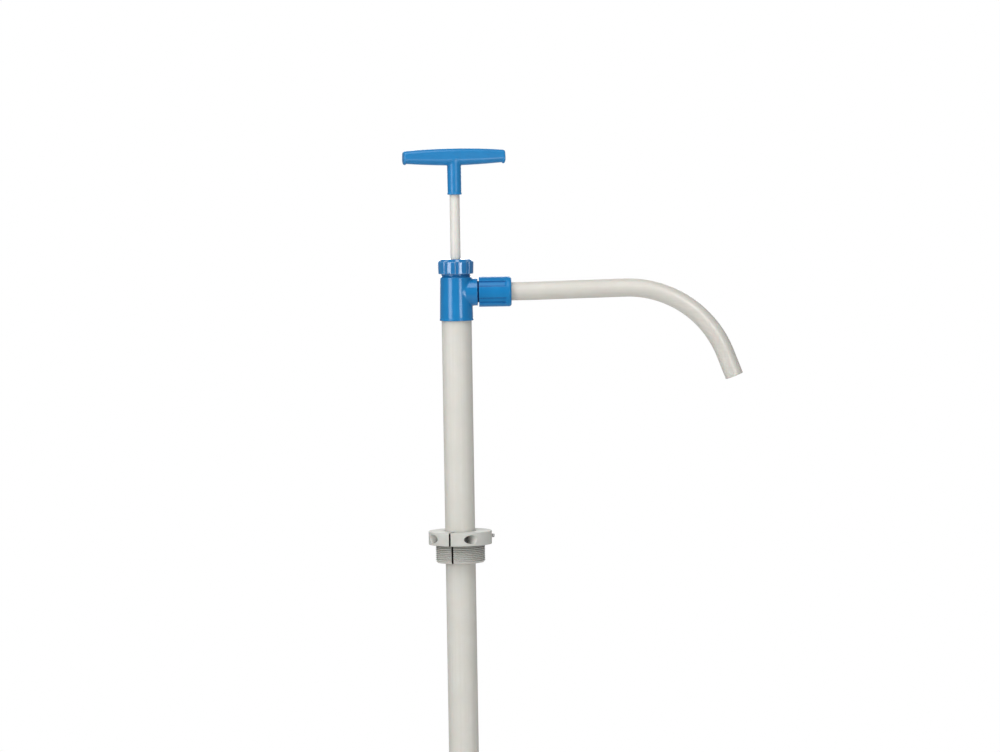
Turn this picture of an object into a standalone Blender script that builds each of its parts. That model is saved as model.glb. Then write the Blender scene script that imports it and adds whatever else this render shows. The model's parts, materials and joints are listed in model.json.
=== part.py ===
"""Hand-lift piston drum pump, modelled piece by piece in metres, +Z up.

The origin is the centre of the clamp collar's seating face.  The barrel runs
along Z, and the side outlet and the spout point along +X.
"""
import math

import bmesh
import bpy
from mathutils import Matrix, Vector

MM = 0.001

# ---------------------------------------------------------------- dimensions (mm)
GAP = 0.3                      # play between pieces that touch

BARREL_R = 18.0                # barrel tube, outside and inside radius
BARREL_BORE_R = 15.0
BARREL_TOP = 290.2
BARREL_BOTTOM = -897.0

ROD_R = 6.0
ROD_TOP = 446.0
ROD_SHOULDER = -752.0          # the rod steps down here to take the piston
ROD_SPIGOT_R = 4.0
ROD_END = -779.0

TEE_BOTTOM = 268.6
TEE_SHOULDER = 321.0
TEE_R_BOTTOM = 20.3
TEE_R_TOP = 18.8
NECK_R = 17.1
NECK_CREST_R = 17.7
NECK_TOP = 335.2
BRANCH_Z = 302.7               # height of the outlet axis
BRANCH_R = 16.4
BRANCH_END = 25.8
BRANCH_NECK_R = 13.2
BRANCH_NECK_END = 45.0
OUTLET_BORE_R = 8.5
SOCKET_START = 33.0            # socket that takes the spout's end

CAP_R = 21.4
CAP_BOTTOM = 324.8
CAP_TOP = 342.5
CAP_FLUTES = 9
CAP_FLUTE_AT = -85.0           # angle of one flute, degrees from +X

UNION_R = 18.0
UNION_START = 27.4
UNION_END = 66.3
UNION_FLUTES = 5
UNION_FLUTE_AT = -54.0         # puts two flutes evenly above and below the front

SPOUT_R = 11.0
SPOUT_BORE_R = 9.0
SPOUT_START = 33.4
SPOUT_RISE = math.radians(1.1)     # the straight run climbs very slightly
SPOUT_DROP = math.radians(69.0)    # the mouth points this far below level
SPOUT_BEND_AT = 202.5
SPOUT_BEND_R = 124.8
SPOUT_TAIL = 30.0

HANDLE_BAR_HALF = 62.5
HANDLE_YAW = math.radians(14.0)
STEM_R = 8.2
STEM_BOTTOM = 419.6
BAR_LOW = 454.5
BAR_HIGH = 474.8

COLLAR_R = 38.0
COLLAR_H = 16.0
COLLAR_BORE_R = 18.3
THREAD_R = 29.8                # spigot that screws into the drum's opening
THREAD_LEN = 22.0
SLIT_ANGLE = math.radians(-109.0)  # direction of the front slit, from +X
SLIT_HALF = 1.0
SCREW_OFFSET = 28.9            # clamp screw axis to barrel axis
SCREW_Z = 8.0
SCREW_POCKET_R = 5.25
SCREW_SEAT = 12.0              # slit plane to the pocket's floor

PISTON_R = 14.5
PISTON_TOP = ROD_SHOULDER - GAP
PISTON_H = 16.0
PORT_PITCH_R = 9.0
PORT_R = 2.2
PORTS = 6

FOOT_BOTTOM = -921.0
FOOT_TOP = -872.0
FOOT_BORE_R = 7.0
BALL_R = 9.0

SEG = 32                       # facets round the large turned pieces
SEG_SMALL = 16

# ---------------------------------------------------------------- clean start
for old in list(bpy.data.objects):
    bpy.data.objects.remove(old, do_unlink=True)


# ---------------------------------------------------------------- helpers
def material(name, colour, roughness, metallic=0.0):
    mat = bpy.data.materials.new(name)
    mat.use_nodes = True
    shader = mat.node_tree.nodes["Principled BSDF"]
    shader.inputs["Base Color"].default_value = (*colour, 1.0)
    shader.inputs["Roughness"].default_value = roughness
    shader.inputs["Metallic"].default_value = metallic
    mat.diffuse_color = (*colour, 1.0)
    return mat


BLUE = (0.020, 0.165, 0.490)
CREAM = (0.660, 0.640, 0.590)
WHITE = (0.800, 0.790, 0.750)
STEEL = (0.600, 0.600, 0.610)
RUBBER = (0.020, 0.020, 0.022)
NATURAL = (0.740, 0.740, 0.700)


def finish(name, bm, colour, roughness=0.4, metallic=0.0, at=(0, 0, 0), turn=(0, 0, 0),
           parent=None, smooth=True):
    """Turn a bmesh in millimetres into a named object in metres."""
    bmesh.ops.remove_doubles(bm, verts=bm.verts, dist=0.001)
    bmesh.ops.dissolve_degenerate(bm, edges=bm.edges, dist=0.0005)
    bmesh.ops.recalc_face_normals(bm, faces=bm.faces)
    bmesh.ops.scale(bm, vec=(MM, MM, MM), verts=bm.verts)
    mesh = bpy.data.meshes.new(name)
    bm.to_mesh(mesh)
    bm.free()
    if smooth:
        mesh.shade_smooth()
        mesh.set_sharp_from_angle(angle=math.radians(32))
    obj = bpy.data.objects.new(name, mesh)
    bpy.context.scene.collection.objects.link(obj)
    obj.location = Vector(at) * MM
    obj.rotation_euler = turn
    obj.parent = parent
    mesh.materials.append(material(name + "_finish", colour, roughness, metallic))
    return obj


def turned(profile, segments=SEG, radius_at=None):
    """Spin a closed (radius, height) outline round Z.

    radius_at(radius, height, angle) may change a point's radius with the angle,
    for flutes.
    """
    bm = bmesh.new()
    verts = [bm.verts.new((r, 0.0, z)) for r, z in profile]
    edges = [bm.edges.new((verts[i], verts[(i + 1) % len(verts)])) for i in range(len(verts))]
    bmesh.ops.spin(bm, geom=verts + edges, cent=(0, 0, 0), axis=(0, 0, 1), angle=2 * math.pi,
                   steps=segments, use_merge=True, use_normal_flip=False)
    if radius_at is not None:
        for v in bm.verts:
            r = math.hypot(v.co.x, v.co.y)
            angle = math.atan2(v.co.y, v.co.x)
            new = radius_at(r, v.co.z, angle)
            if r > 1e-6 and new != r:
                v.co.x *= new / r
                v.co.y *= new / r
    bmesh.ops.remove_doubles(bm, verts=bm.verts, dist=0.001)
    return bm


def ring(inner, outer, low, high, segments=SEG, ease=0.0):
    """A plain ring, with its outer edges broken by ease."""
    if ease:
        outline = [(inner, low), (outer - ease, low), (outer, low + ease), (outer, high - ease),
                   (outer - ease, high), (inner, high)]
    else:
        outline = [(inner, low), (outer, low), (outer, high), (inner, high)]
    return turned(outline, segments)


def tool(name, bm, at=(0, 0, 0), turn=None, parent=None):
    """A cutter or a piece to be merged; it is never part of the result."""
    bmesh.ops.recalc_face_normals(bm, faces=bm.faces)
    bmesh.ops.scale(bm, vec=(MM, MM, MM), verts=bm.verts)
    mesh = bpy.data.meshes.new(name)
    bm.to_mesh(mesh)
    bm.free()
    obj = bpy.data.objects.new(name, mesh)
    bpy.context.scene.collection.objects.link(obj)
    matrix = Matrix.Translation(Vector(at) * MM)
    if turn is not None:
        matrix = matrix @ turn
    obj.matrix_world = matrix
    obj.hide_render = True
    obj.display_type = 'WIRE'
    return obj


def boolean(obj, other, operation='DIFFERENCE'):
    mod = obj.modifiers.new(other.name, 'BOOLEAN')
    mod.operation = operation
    mod.solver = 'EXACT'
    mod.object = other
    return mod


def cylinder(radius, low, high, segments=SEG_SMALL):
    return turned([(0.0, low), (radius, low), (radius, high), (0.0, high)], segments)


def block(x0, x1, y0, y1, z0, z1):
    bm = bmesh.new()
    bmesh.ops.create_cube(bm, size=1.0)
    bmesh.ops.scale(bm, vec=(x1 - x0, y1 - y0, z1 - z0), verts=bm.verts)
    bmesh.ops.translate(bm, vec=((x0 + x1) / 2, (y0 + y1) / 2, (z0 + z1) / 2), verts=bm.verts)
    return bm


def loft(rings):
    """Close a skin over a list of rings with the same number of points."""
    bm = bmesh.new()
    loops = [[bm.verts.new(p) for p in one] for one in rings]
    count = len(loops[0])
    for a, b in zip(loops[:-1], loops[1:]):
        for i in range(count):
            j = (i + 1) % count
            bm.faces.new((a[i], a[j], b[j], b[i]))
    bm.faces.new(loops[0])
    bm.faces.new(loops[-1])
    return bm


TO_X = Matrix.Rotation(math.radians(90), 4, 'Y')       # turns local +Z to +X

# ---------------------------------------------------------------- joint axes
outlet_axis = bpy.data.objects.new("outlet_axis", None)
bpy.context.scene.collection.objects.link(outlet_axis)
outlet_axis.location = (0, 0, BRANCH_Z * MM)
outlet_axis.rotation_euler = (0, math.radians(90), 0)

# ---------------------------------------------------------------- barrel
finish("barrel_tube",
       ring(BARREL_BORE_R, BARREL_R, BARREL_BOTTOM, BARREL_TOP), CREAM, 0.42)

finish("barrel_seal_ring",
       ring(BARREL_BORE_R + 0.3, BARREL_R - 0.1, BARREL_TOP + GAP, BARREL_TOP + GAP + 1.0), RUBBER, 0.7)

# ---------------------------------------------------------------- tee head
tee = finish("tee_head", turned([
    (0.0, TEE_BOTTOM), (TEE_R_BOTTOM - 0.4, TEE_BOTTOM), (TEE_R_BOTTOM, TEE_BOTTOM + 0.5),
    (TEE_R_TOP, TEE_SHOULDER - 2.2), (TEE_R_TOP - 0.8, TEE_SHOULDER - 0.5), (NECK_R + 0.4, TEE_SHOULDER),
    (NECK_R, TEE_SHOULDER + 0.6), (NECK_R, TEE_SHOULDER + 2.0), (NECK_CREST_R, TEE_SHOULDER + 2.7),
    (NECK_CREST_R, TEE_SHOULDER + 3.7), (NECK_R, TEE_SHOULDER + 4.4), (NECK_R, NECK_TOP),
    (0.0, NECK_TOP)], SEG), BLUE, 0.35)
boolean(tee, tool("cut_branch_body", turned([
    (0.0, 0.0), (BRANCH_R + 0.9, 0.0), (BRANCH_R + 0.9, 18.4), (BRANCH_R, 20.6), (BRANCH_R, BRANCH_END - 0.5), (BRANCH_R - 0.5, BRANCH_END), (BRANCH_NECK_R, BRANCH_END),
    (BRANCH_NECK_R, BRANCH_NECK_END), (0.0, BRANCH_NECK_END)], SEG),
    at=(0, 0, BRANCH_Z), turn=TO_X), 'UNION')
boolean(tee, tool("cut_tee_bore", turned([
    (0.0, TEE_BOTTOM - 2), (COLLAR_BORE_R, TEE_BOTTOM - 2), (COLLAR_BORE_R, BARREL_TOP + 1.6),
    (14.6, BARREL_TOP + 1.6), (14.6, 313.0), (8.0, 315.0), (8.0, TEE_SHOULDER - 0.3),
    (12.0, TEE_SHOULDER - 0.3), (12.0, NECK_TOP + 2), (0.0, NECK_TOP + 2)], SEG)))
boolean(tee, tool("cut_outlet_bore", turned([
    (0.0, 4.0), (OUTLET_BORE_R, 4.0), (OUTLET_BORE_R, SOCKET_START), (SPOUT_R + 0.4, SOCKET_START),
    (SPOUT_R + 0.4, BRANCH_NECK_END + 2), (0.0, BRANCH_NECK_END + 2)], SEG_SMALL),
    at=(0, 0, BRANCH_Z), turn=TO_X))

# ---------------------------------------------------------------- gland under the cap nut
finish("rod_seal_ring",
       ring(ROD_R + 0.3, 11.6, TEE_SHOULDER, TEE_SHOULDER + 2.9, SEG_SMALL, 0.5), RUBBER, 0.7)
finish("rod_guide_bush", turned([
    (ROD_R + 0.35, TEE_SHOULDER + 3.2), (11.6, TEE_SHOULDER + 3.2), (11.6, NECK_TOP + GAP),
    (NECK_R, NECK_TOP + GAP), (NECK_R, NECK_TOP + 2.4), (ROD_R + 0.35, NECK_TOP + 2.4)], SEG_SMALL),
    NATURAL, 0.45)


def flute(base, angle, count, first, depth, width, wall):
    """Radius of a fluted skin: flat-bottomed grooves at an even pitch."""
    pitch = 360.0 / count
    off = (math.degrees(angle) - first + pitch / 2) % pitch - pitch / 2
    rise = min(max((abs(off) - width / 2) / wall + 0.5, 0.0), 1.0)
    return base - depth * (1.0 - rise)


def cap_skin(r, z, angle):
    if r < NECK_CREST_R + 1.2:
        return r
    return min(r, flute(CAP_R, angle, CAP_FLUTES, CAP_FLUTE_AT, 1.2, 15.0, 5.0))


finish("cap_nut", turned([
    (NECK_CREST_R + 0.6, CAP_BOTTOM), (CAP_R - 0.9, CAP_BOTTOM), (CAP_R - 0.4, CAP_BOTTOM + 0.6),
    (CAP_R, CAP_TOP - 3.2), (CAP_R - 2.6, CAP_TOP - 0.3), (CAP_R - 3.4, CAP_TOP), (ROD_R + 0.5, CAP_TOP),
    (ROD_R + 0.5, NECK_TOP + 2.8), (NECK_CREST_R + 0.6, NECK_TOP + 2.8)],
    72, cap_skin), BLUE, 0.33)


# ---------------------------------------------------------------- union nut and what it holds
def union_skin(r, z, angle):
    if r < 14.8:
        return r
    depth = 1.5 * min(max((60.8 - z) / 2.4, 0.0), 1.0)         # the flutes run out before the round end
    return min(r, flute(UNION_R, angle, UNION_FLUTES, UNION_FLUTE_AT, depth, 30.0, 6.0))


finish("union_nut", turned([
    (13.9, UNION_START), (UNION_R - 0.4, UNION_START), (UNION_R, UNION_START + 0.5),
    (UNION_R, 58.4), (UNION_R, 60.8), (UNION_R, UNION_END - 3.6), (UNION_R - 1.0, UNION_END - 1.1), (UNION_R - 2.5, UNION_END),
    (SPOUT_R + 0.5, UNION_END), (SPOUT_R + 0.5, 62.0), (13.9, 57.0)],
    60, union_skin), BLUE, 0.35, parent=outlet_axis)
finish("spout_seal_ring",
       ring(SPOUT_R + 0.35, 13.4, BRANCH_NECK_END + GAP, 48.0, SEG_SMALL, 0.5), RUBBER, 0.7,
       parent=outlet_axis)
finish("spout_grip_ring", turned([
    (SPOUT_R + 0.35, 48.3), (13.4, 48.3), (13.4, 56.2), (12.1, 60.0), (SPOUT_R + 0.35, 60.0)], SEG_SMALL),
    NATURAL, 0.4, parent=outlet_axis)


# ---------------------------------------------------------------- spout
def spout_stations(arc_steps):
    """Points and headings along the spout's middle line, in the XZ plane."""
    x, z, heading = SPOUT_START, 0.0, 0.0
    out = [(x, z, heading)]
    for stop, rise in ((72.0, 0.0), (84.0, SPOUT_RISE * 0.5), (96.0, SPOUT_RISE)):
        step = stop - x
        z += math.tan((heading + rise) / 2) * step
        x, heading = stop, rise
        out.append((x, z, heading))
    z += math.tan(SPOUT_RISE) * (SPOUT_BEND_AT - x)
    x = SPOUT_BEND_AT
    out.append((x, z, heading))
    x0, z0 = x, z
    for i in range(1, arc_steps + 1):
        heading = SPOUT_RISE - (SPOUT_RISE + SPOUT_DROP) * i / arc_steps
        out.append((x0 + SPOUT_BEND_R * (math.sin(SPOUT_RISE) - math.sin(heading)),
                    z0 - SPOUT_BEND_R * (math.cos(SPOUT_RISE) - math.cos(heading)), heading))
    x, z, heading = out[-1]
    out.append((x + SPOUT_TAIL * math.cos(heading), z + SPOUT_TAIL * math.sin(heading), heading))
    return out


def swept_tube(stations, outer, inner, segments):
    """An open-ended pipe along the stations."""
    bm = bmesh.new()
    skins = []
    for radius in (outer, inner):
        loops = []
        for x, z, heading in stations:
            side = Vector((0, 1, 0))
            up = Vector((-math.sin(heading), 0, math.cos(heading)))
            loops.append([bm.verts.new(Vector((x, 0, z)) + side * (radius * math.cos(2 * math.pi * k / segments))
                                       + up * (radius * math.sin(2 * math.pi * k / segments)))
                          for k in range(segments)])
        for a, b in zip(loops[:-1], loops[1:]):
            for i in range(segments):
                j = (i + 1) % segments
                bm.faces.new((a[i], a[j], b[j], b[i]))
        skins.append(loops)
    for end in (0, -1):
        a, b = skins[0][end], skins[1][end]
        for i in range(segments):
            j = (i + 1) % segments
            bm.faces.new((a[i], a[j], b[j], b[i]))
    return bm


finish("spout_tube", swept_tube(spout_stations(12), SPOUT_R, SPOUT_BORE_R, 20), CREAM, 0.4,
       at=(0, 0, BRANCH_Z))

# ---------------------------------------------------------------- rod, piston and upper valve
STOP_LOW, STOP_HIGH = ROD_SHOULDER + 7.0, ROD_SHOULDER + 8.6
finish("piston_rod", turned([
    (0.0, ROD_END), (ROD_SPIGOT_R - 0.6, ROD_END), (ROD_SPIGOT_R, ROD_END + 0.6), (ROD_SPIGOT_R, ROD_SHOULDER),
    (ROD_R, ROD_SHOULDER), (ROD_R, STOP_LOW - GAP), (ROD_R - 1.2, STOP_LOW - GAP),
    (ROD_R - 1.2, STOP_HIGH + GAP), (ROD_R, STOP_HIGH + GAP), (ROD_R, ROD_TOP - 1.0),
    (ROD_R - 1.0, ROD_TOP), (0.0, ROD_TOP)], SEG_SMALL), WHITE, 0.35)
finish("valve_stop_ring", ring(ROD_R - 0.9, 9.5, STOP_LOW, STOP_HIGH, SEG_SMALL), STEEL, 0.3, 1.0)
finish("rod_stop_collar", ring(ROD_R + 0.3, 10.5, -30.0, -14.0, SEG_SMALL, 1.0), NATURAL, 0.45)
finish("piston_valve_disc",
       ring(ROD_R + 0.5, 13.0, ROD_SHOULDER, ROD_SHOULDER + 2.0, SEG_SMALL), RUBBER, 0.65)

piston = finish("piston_body", turned([
    (ROD_SPIGOT_R + 0.3, PISTON_TOP - PISTON_H), (PISTON_R - 0.8, PISTON_TOP - PISTON_H),
    (PISTON_R, PISTON_TOP - PISTON_H + 0.8), (PISTON_R, PISTON_TOP - 10.4), (12.4, PISTON_TOP - 10.4),
    (12.4, PISTON_TOP - 5.6), (PISTON_R, PISTON_TOP - 5.6), (PISTON_R, PISTON_TOP - 0.8),
    (PISTON_R - 0.8, PISTON_TOP), (ROD_SPIGOT_R + 0.3, PISTON_TOP)], SEG_SMALL), NATURAL, 0.45)
for k in range(PORTS):
    angle = 2 * math.pi * (k + 0.5) / PORTS
    boolean(piston, tool("cut_port_%d" % k, cylinder(PORT_R, PISTON_TOP - PISTON_H - 2, PISTON_TOP + 2, 10),
                         at=(PORT_PITCH_R * math.cos(angle), PORT_PITCH_R * math.sin(angle), 0)))
finish("piston_seal_ring",
       ring(12.7, 14.65, PISTON_TOP - 10.1, PISTON_TOP - 5.9, SEG_SMALL, 0.3), RUBBER, 0.65)
finish("piston_washer",
       ring(ROD_SPIGOT_R + 0.3, 6.6, PISTON_TOP - PISTON_H - GAP - 1.4, PISTON_TOP - PISTON_H - GAP,
            SEG_SMALL), STEEL, 0.3, 1.0)


def hex_nut(across_flats, bore, low, high):
    """Hexagon with broken corners and a round bore."""
    sides, corner = 24, across_flats / math.sqrt(3)

    def skin(r, z, angle):
        if r < bore + 0.2:
            return r
        off = (math.degrees(angle) + 30.0) % 60.0 - 30.0
        return r * min(1.0, across_flats / 2 / math.cos(math.radians(off)) / corner)

    return turned([(bore, low), (corner - 0.5, low), (corner, low + 0.5), (corner, high - 0.5),
                   (corner - 0.5, high), (bore, high)], sides, skin)


NUT_TOP = PISTON_TOP - PISTON_H - GAP - 1.4 - GAP
finish("piston_nut", hex_nut(12.0, ROD_SPIGOT_R + 0.3, NUT_TOP - 6.0, NUT_TOP), STEEL, 0.3, 1.0, smooth=False)

# ---------------------------------------------------------------- foot valve
foot = finish("foot_body", turned([
    (11.0, FOOT_BOTTOM), (BARREL_R - 0.8, FOOT_BOTTOM), (BARREL_R, FOOT_BOTTOM + 0.8),
    (BARREL_R, BARREL_BOTTOM - GAP), (14.6, BARREL_BOTTOM - GAP),
    (14.6, BARREL_BOTTOM + 5.0), (13.2, BARREL_BOTTOM + 5.0), (13.2, BARREL_BOTTOM + 8.4),
    (14.6, BARREL_BOTTOM + 8.4), (14.6, FOOT_TOP), (11.2, FOOT_TOP),
    (11.2, BARREL_BOTTOM + 2.0), (FOOT_BORE_R, BARREL_BOTTOM - 2.2), (FOOT_BORE_R, BARREL_BOTTOM - 10.0),
    (11.0, BARREL_BOTTOM - 14.0)], SEG_SMALL), CREAM, 0.45)
for k in range(2):
    boolean(foot, tool("cut_inlet_%d" % k, block(-30, 30, -4.5, 4.5, FOOT_BOTTOM - 2, FOOT_BOTTOM + 8.0),
                       turn=Matrix.Rotation(math.radians(45 + 90 * k), 4, 'Z')))
PIN_Z = FOOT_TOP - 5.0
boolean(foot, tool("cut_pin_hole", cylinder(2.3, -20, 20, 12), at=(0, 0, PIN_Z), turn=TO_X))
finish("foot_seal_ring",
       ring(13.5, 14.65, BARREL_BOTTOM + 5.3, BARREL_BOTTOM + 8.1, SEG_SMALL), RUBBER, 0.65)

ball_rest = BARREL_BOTTOM - 2.2 + math.sqrt(BALL_R ** 2 - FOOT_BORE_R ** 2) + 0.5
bm = bmesh.new()
bmesh.ops.create_uvsphere(bm, u_segments=16, v_segments=9, radius=BALL_R)
finish("foot_ball", bm, NATURAL, 0.3, at=(0, 0, ball_rest))
finish("ball_stop_pin", cylinder(2.0, -14.0, 14.0, 12), STEEL, 0.3, 1.0, at=(0, 0, PIN_Z),
       turn=(0, math.radians(90), 0))


# ---------------------------------------------------------------- handle
def bar_section(x, count=20):
    """Rounded section of the handle's bar at x: tall in the middle, with a lip at each end."""
    t = min(1.0, abs(x) / HANDLE_BAR_HALF)
    low = BAR_LOW + 3.0 * t ** 1.6
    high = BAR_HIGH - 2.6 * t ** 2.2
    half = 8.6 - 1.4 * t
    edge = (HANDLE_BAR_HALF - abs(x)) / 4.0          # 0 at the very end
    if edge < 1.0:
        low -= 1.6 * (1.0 - edge) ** 0.5 if edge > 0.16 else 1.2
        shrink = 0.0 if edge > 0.3 else 0.9 * (1.0 - edge / 0.3)
        high -= shrink
        half -= shrink
        low += shrink
    mid, tall = (low + high) / 2, (high - low) / 2
    out = []
    for k in range(count):
        a = 2 * math.pi * (k + 0.5) / count
        c, s = math.cos(a), math.sin(a)
        power = 2.0 / 3.0 if s > 0 else 0.85           # rounder underneath
        z = mid + tall * math.copysign(abs(s) ** power, s)
        deep = half - 0.11 * max(z - BAR_LOW - 6.5, 0.0)    # the flanks lean in towards the top
        out.append((x, deep * math.copysign(abs(c) ** power, c), z))
    return out


bar_stops = [-62.5, -61.5, -60.3, -58.5, -50, -38, -24, -10, 0, 10, 24, 38, 50, 58.5, 60.3, 61.5, 62.5]
handle = finish("t_handle", loft([bar_section(x) for x in bar_stops]), BLUE, 0.36,
                turn=(0, 0, HANDLE_YAW))
boolean(handle, tool("cut_stem", turned([
    (0.0, STEM_BOTTOM), (STEM_R - 0.3, STEM_BOTTOM), (STEM_R + 0.25, STEM_BOTTOM + 0.5),
    (STEM_R + 0.25, STEM_BOTTOM + 1.6), (STEM_R - 0.1, STEM_BOTTOM + 2.2), (STEM_R + 0.2, BAR_LOW + 9.0),
    (0.0, BAR_LOW + 9.0)], SEG_SMALL)), 'UNION')
boolean(handle, tool("cut_rod_socket", cylinder(ROD_R + 0.3, STEM_BOTTOM - 3, ROD_TOP + 0.5)))

# ---------------------------------------------------------------- clamp collar
SLIT = Vector((math.cos(SLIT_ANGLE), math.sin(SLIT_ANGLE), 0.0))      # towards the front slit
ACROSS = Vector((-SLIT.y, SLIT.x, 0.0))                                # across the slit, towards +X
ring_groove = (4.0, 9.0)

collar_outline = [
    (COLLAR_BORE_R, -THREAD_LEN), (THREAD_R - 1.6, -THREAD_LEN), (THREAD_R, -THREAD_LEN + 1.6),
    (THREAD_R, 0.0), (COLLAR_R - 0.6, 0.0), (COLLAR_R, 0.6),
    (COLLAR_R, COLLAR_H - 0.6), (COLLAR_R - 0.6, COLLAR_H), (COLLAR_BORE_R + 0.6, COLLAR_H),
    (COLLAR_BORE_R, COLLAR_H - 0.6),
    (COLLAR_BORE_R, ring_groove[1]), (20.9, ring_groove[1]), (20.9, ring_groove[0]),
    (COLLAR_BORE_R, ring_groove[0])]

slit_frame = Matrix((( ACROSS.x, SLIT.x, 0, 0), (ACROSS.y, SLIT.y, 0, 0), (0, 0, 1, 0), (0, 0, 0, 1)))
for name, sign in (("collar_half_left", -1), ("collar_half_right", 1)):
    half = finish(name, turned(collar_outline, 40), CREAM, 0.42)
    lo, hi = (-80, SLIT_HALF) if sign > 0 else (-SLIT_HALF, 80)
    boolean(half, tool("cut_" + name, block(lo, hi, -80, 80, -40, 40), turn=slit_frame))
    for place, side in (("front", 1), ("rear", -1)):
        base = SLIT * (SCREW_OFFSET * side) + Vector((0, 0, SCREW_Z))
        axis = Matrix.Rotation(math.atan2(ACROSS.y, ACROSS.x), 4, 'Z') @ TO_X
        bore = turned([(0.0, -60.0), (SCREW_POCKET_R, -60.0), (SCREW_POCKET_R, -SCREW_SEAT), (2.8, -SCREW_SEAT),
                       (2.8, SCREW_SEAT), (SCREW_POCKET_R, SCREW_SEAT), (SCREW_POCKET_R, 60.0), (0.0, 60.0)], 20)
        boolean(half, tool("cut_%s_%s" % (name, place), bore, at=base, turn=axis))

finish("tube_grip_ring", ring(BARREL_R + 0.35, 20.5, 4.4, 8.6, 32, 0.6), RUBBER, 0.7)

for place, side, head, tail in (("front", 1, 1, 17.0), ("rear", -1, -1, 33.0)):
    base = SLIT * (SCREW_OFFSET * side) + Vector((0, 0, SCREW_Z))
    turn = (0, math.radians(90 * head), math.atan2(ACROSS.y, ACROSS.x))
    # along the screw: the head sits in one pocket, the nut in the other
    low = SCREW_SEAT + GAP
    finish("clamp_screw_" + place, turned([
        (0.0, -tail), (2.1, -tail), (2.5, -tail + 0.5), (2.5, low), (4.25, low), (4.25, low + 4.4),
        (3.85, low + 5.0), (2.3, low + 5.0), (2.3, low + 2.4), (0.0, low + 2.0)], 20), STEEL, 0.28, 1.0,
        at=base, turn=turn)
    finish("clamp_nut_" + place, hex_nut(8.0, 2.8, -low - 4.0, -low), STEEL, 0.28, 1.0,
           at=base, turn=turn, smooth=False)
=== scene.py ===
"""Looks of the hand-lift drum pump: fine surfaces, finishes, studio and camera."""
import json
import math

import bmesh
import bpy
import numpy as np
from mathutils import Matrix, Vector

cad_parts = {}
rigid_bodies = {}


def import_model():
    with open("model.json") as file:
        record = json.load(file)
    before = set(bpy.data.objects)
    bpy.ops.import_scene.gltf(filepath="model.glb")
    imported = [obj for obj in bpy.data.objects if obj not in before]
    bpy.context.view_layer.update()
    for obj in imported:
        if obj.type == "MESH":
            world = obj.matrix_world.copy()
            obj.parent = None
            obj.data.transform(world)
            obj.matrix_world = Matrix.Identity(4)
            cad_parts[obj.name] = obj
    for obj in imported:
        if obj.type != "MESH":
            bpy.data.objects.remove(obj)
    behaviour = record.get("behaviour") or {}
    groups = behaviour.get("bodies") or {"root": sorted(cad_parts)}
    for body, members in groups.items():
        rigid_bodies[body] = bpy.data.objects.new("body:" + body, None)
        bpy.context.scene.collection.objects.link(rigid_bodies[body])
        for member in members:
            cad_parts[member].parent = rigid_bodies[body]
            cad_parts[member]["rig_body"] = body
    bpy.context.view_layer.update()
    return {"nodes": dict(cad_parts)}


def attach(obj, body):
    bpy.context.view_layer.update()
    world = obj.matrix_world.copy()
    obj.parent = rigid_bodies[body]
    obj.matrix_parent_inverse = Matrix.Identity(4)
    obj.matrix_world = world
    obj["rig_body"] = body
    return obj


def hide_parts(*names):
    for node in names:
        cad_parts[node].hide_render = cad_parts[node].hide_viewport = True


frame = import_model()

MM = 0.001

# ------------------------------------------------------------------ sizes, in millimetres
BARREL_R, BARREL_BORE_R, BARREL_TOP, BARREL_BOTTOM = 18.0, 15.0, 290.2, -897.0
ROD_R, ROD_TOP, ROD_SHOULDER, ROD_SPIGOT_R, ROD_END = 6.0, 446.0, -752.0, 4.0, -779.0
TEE_BOTTOM, TEE_SHOULDER, TEE_R_BOTTOM, TEE_R_TOP = 268.6, 321.0, 20.3, 18.8
NECK_R, NECK_CREST_R, NECK_TOP = 17.1, 17.7, 335.2
BRANCH_Z, BRANCH_R, BRANCH_END = 302.7, 16.4, 25.8
BRANCH_NECK_R, BRANCH_NECK_END = 13.2, 45.0
OUTLET_BORE_R, SOCKET_START = 8.5, 33.0
CAP_R, CAP_BOTTOM, CAP_TOP, CAP_FLUTES, CAP_FLUTE_AT = 21.4, 324.8, 342.5, 9, -85.0
UNION_R, UNION_START, UNION_END, UNION_FLUTES, UNION_FLUTE_AT = 18.0, 27.4, 66.3, 5, -54.0
SPOUT_R, SPOUT_BORE_R, SPOUT_START = 11.0, 9.0, 33.4
SPOUT_RISE, SPOUT_DROP = math.radians(1.1), math.radians(69.0)
SPOUT_BEND_AT, SPOUT_BEND_R, SPOUT_TAIL = 202.5, 124.8, 30.0
HANDLE_BAR_HALF, HANDLE_YAW = 62.5, math.radians(14.0)
STEM_R, STEM_BOTTOM, BAR_LOW, BAR_HIGH = 8.2, 419.6, 454.5, 474.8
COLLAR_R, COLLAR_H, COLLAR_BORE_R = 38.0, 16.0, 18.3
THREAD_R, THREAD_LEN = 29.8, 22.0
SLIT_ANGLE, SLIT_HALF = math.radians(-109.0), 1.0
SCREW_OFFSET, SCREW_Z, SCREW_POCKET_R, SCREW_SEAT = 28.9, 8.0, 5.25, 12.0
PISTON_R, PISTON_TOP, PISTON_H = 14.5, -752.3, 16.0
PORT_PITCH_R, PORT_R, PORTS = 9.0, 2.2, 6
FOOT_BOTTOM, FOOT_TOP, FOOT_BORE_R, BALL_R = -921.0, -872.0, 7.0, 9.0
GAP = 0.3

TO_X = Matrix.Rotation(math.radians(90), 4, 'Y')


# ------------------------------------------------------------------ finishes
def rgb(r, g, b):
    """sRGB 0-255 to linear."""
    def one(c):
        c /= 255.0
        return c / 12.92 if c <= 0.04045 else ((c + 0.055) / 1.055) ** 2.4
    return (one(r), one(g), one(b), 1.0)


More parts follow.
